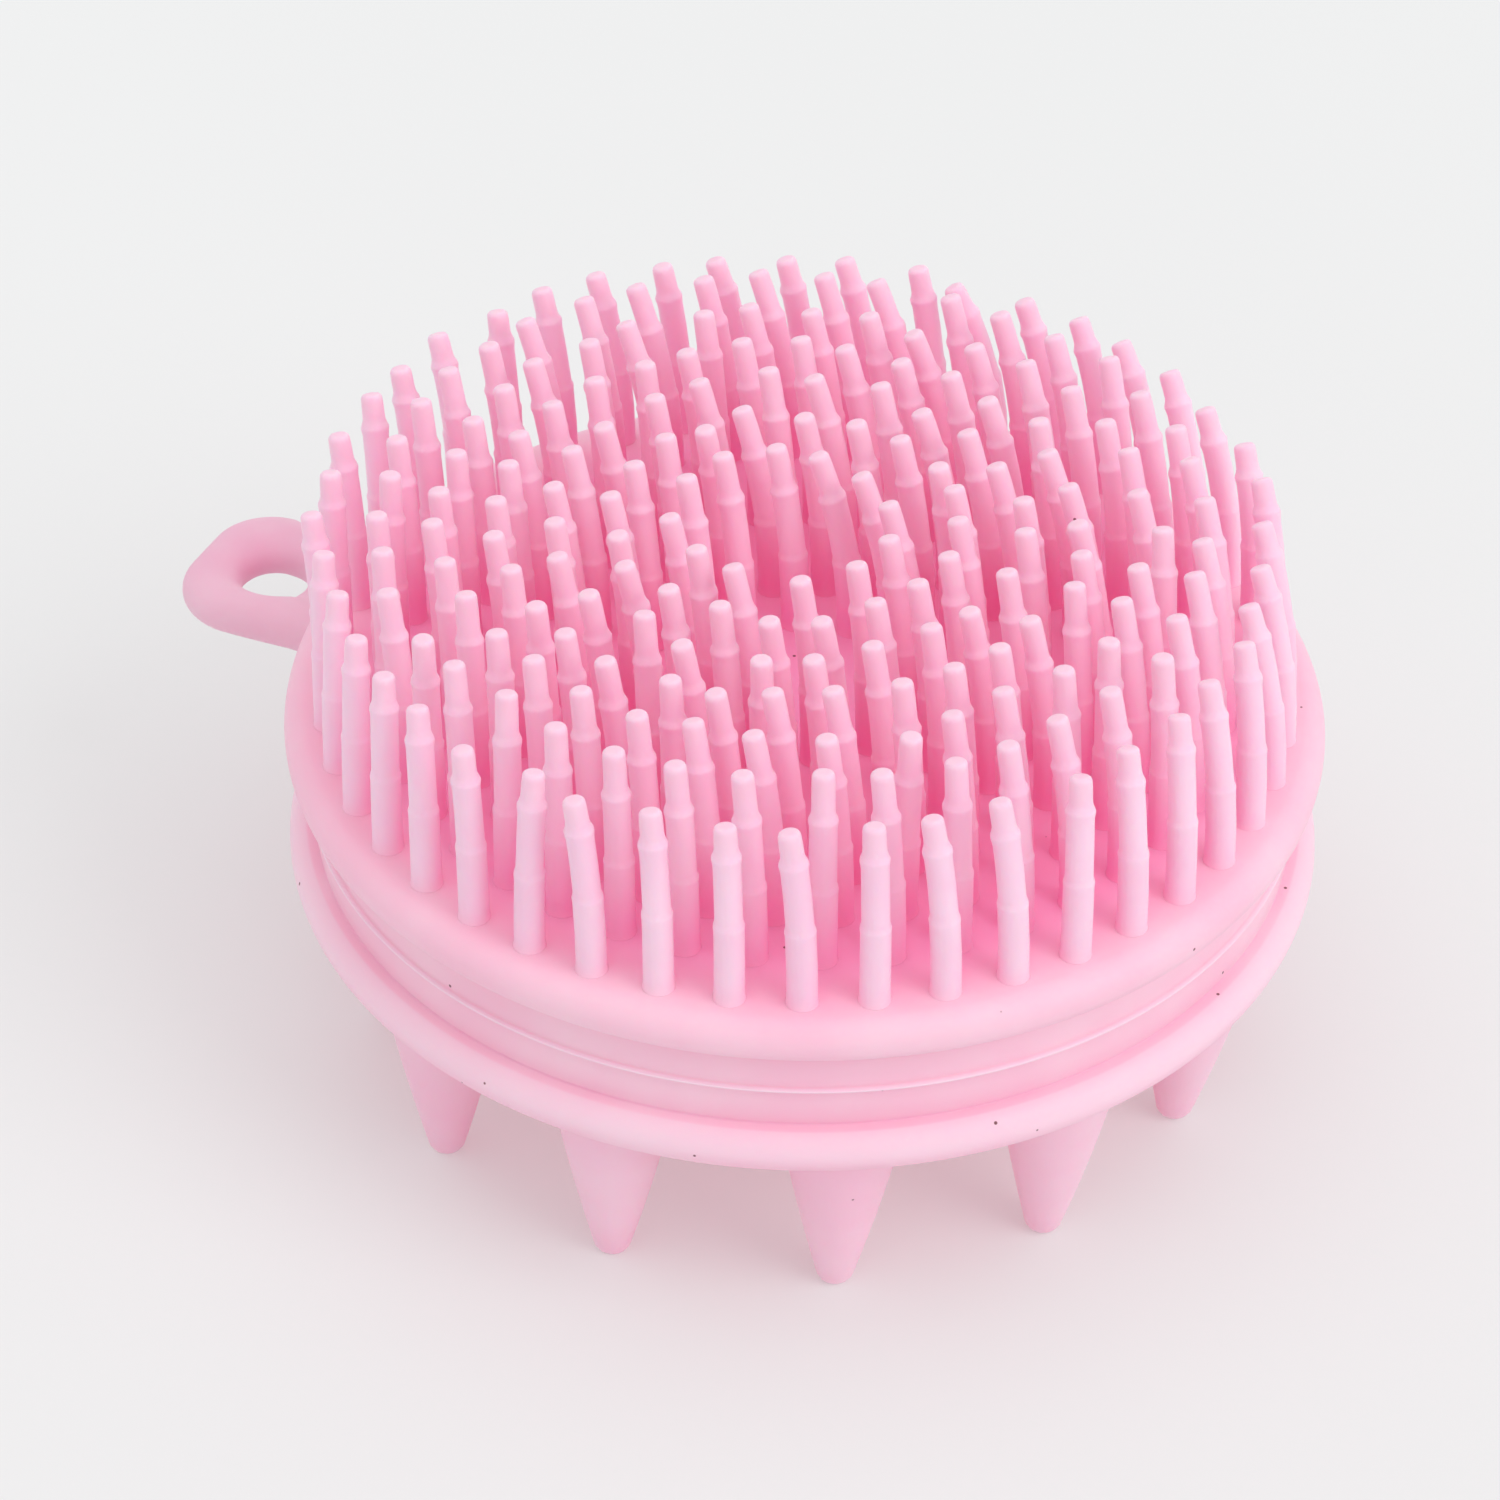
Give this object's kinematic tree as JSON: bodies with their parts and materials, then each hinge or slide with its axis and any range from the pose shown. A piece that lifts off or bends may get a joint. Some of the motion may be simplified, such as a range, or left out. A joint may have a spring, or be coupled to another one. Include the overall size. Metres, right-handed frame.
{
  "type": "scalp massager brush",
  "caption": "Round soft silicone hand brush with concentric rings of thin stepped bristles on one face, thick tapered massage cones on the other and a flat hanging loop.",
  "frame": {"origin": "on the round body's axis, at the flat tip of the middle cone, which is the level that the brush stands on with its bristles up", "axes": "+Z from the cones to the bristles along the round body's axis; the hanging loop points along -X"},
  "size_m": [0.088, 0.075, 0.0437],
  "materials": {
    "silicone_body": "matte translucent pink silicone",
    "silicone_cones": "matte translucent pink silicone",
    "silicone_bristles": "matte translucent pink silicone, paler towards the tips"
  },
  "bodies": {
    "core": {"bristle_disc": "silicone_body", "cone_disc": "silicone_body", "cone_centre": "silicone_cones"},
    "loop": {"hanging_loop": "silicone_body"},
    "bristles_1": {"bristle_ring_1": "silicone_bristles"},
    "bristles_2": {"bristle_ring_2": "silicone_bristles"},
    "bristles_3": {"bristle_ring_3": "silicone_bristles"},
    "bristles_4": {"bristle_ring_4": "silicone_bristles"},
    "bristles_5": {"bristle_ring_5": "silicone_bristles"},
    "bristles_6": {"bristle_ring_6": "silicone_bristles"},
    "bristles_7": {"bristle_ring_7": "silicone_bristles"},
    "inner_cones": {"cone_inner_1": "silicone_cones", "cone_inner_2": "silicone_cones", "cone_inner_3": "silicone_cones", "cone_inner_4": "silicone_cones", "cone_inner_5": "silicone_cones", "cone_inner_6": "silicone_cones"},
    "outer_cones": {"cone_outer_01": "silicone_cones", "cone_outer_02": "silicone_cones", "cone_outer_03": "silicone_cones", "cone_outer_04": "silicone_cones", "cone_outer_05": "silicone_cones", "cone_outer_06": "silicone_cones", "cone_outer_07": "silicone_cones", "cone_outer_08": "silicone_cones", "cone_outer_09": "silicone_cones", "cone_outer_10": "silicone_cones", "cone_outer_11": "silicone_cones", "cone_outer_12": "silicone_cones"}
  },
  "joints": [
    {"name": "loop_flex", "type": "hinge", "parent": "core", "child": "loop", "pos_m": [-0.0381, 0, 0.0236], "axis": [0, 1, 0], "range_deg": [-45, 45], "stiffness_Nm_per_rad": 0.02},
    {"name": "bristle_flex_1", "type": "hinge", "parent": "core", "child": "bristles_1", "pos_m": [0, 0, 0], "axis": [0, 0, 1], "range_deg": [-32.7, 32.7], "stiffness_Nm_per_rad": 0.000998},
    {"name": "bristle_flex_2", "type": "hinge", "parent": "core", "child": "bristles_2", "pos_m": [0, 0, 0], "axis": [0, 0, 1], "range_deg": [-20.9, 20.9], "stiffness_Nm_per_rad": 0.00398},
    {"name": "bristle_flex_3", "type": "hinge", "parent": "core", "child": "bristles_3", "pos_m": [0, 0, 0], "axis": [0, 0, 1], "range_deg": [-15.4, 15.4], "stiffness_Nm_per_rad": 0.00876},
    {"name": "bristle_flex_4", "type": "hinge", "parent": "core", "child": "bristles_4", "pos_m": [0, 0, 0], "axis": [0, 0, 1], "range_deg": [-12.2, 12.2], "stiffness_Nm_per_rad": 0.0186},
    {"name": "bristle_flex_5", "type": "hinge", "parent": "core", "child": "bristles_5", "pos_m": [0, 0, 0], "axis": [0, 0, 1], "range_deg": [-10.1, 10.1], "stiffness_Nm_per_rad": 0.0305},
    {"name": "bristle_flex_6", "type": "hinge", "parent": "core", "child": "bristles_6", "pos_m": [0, 0, 0], "axis": [0, 0, 1], "range_deg": [-8.6, 8.6], "stiffness_Nm_per_rad": 0.0465},
    {"name": "bristle_flex_7", "type": "hinge", "parent": "core", "child": "bristles_7", "pos_m": [0, 0, 0], "axis": [0, 0, 1], "range_deg": [-7.5, 7.5], "stiffness_Nm_per_rad": 0.0672},
    {"name": "inner_cone_flex", "type": "hinge", "parent": "core", "child": "inner_cones", "pos_m": [0, 0, 0], "axis": [0, 0, 1], "range_deg": [-7.2, 7.2], "stiffness_Nm_per_rad": 0.184},
    {"name": "outer_cone_flex", "type": "hinge", "parent": "core", "child": "outer_cones", "pos_m": [0, 0, 0], "axis": [0, 0, 1], "range_deg": [-3.7, 3.7], "stiffness_Nm_per_rad": 1.38}
  ]
}
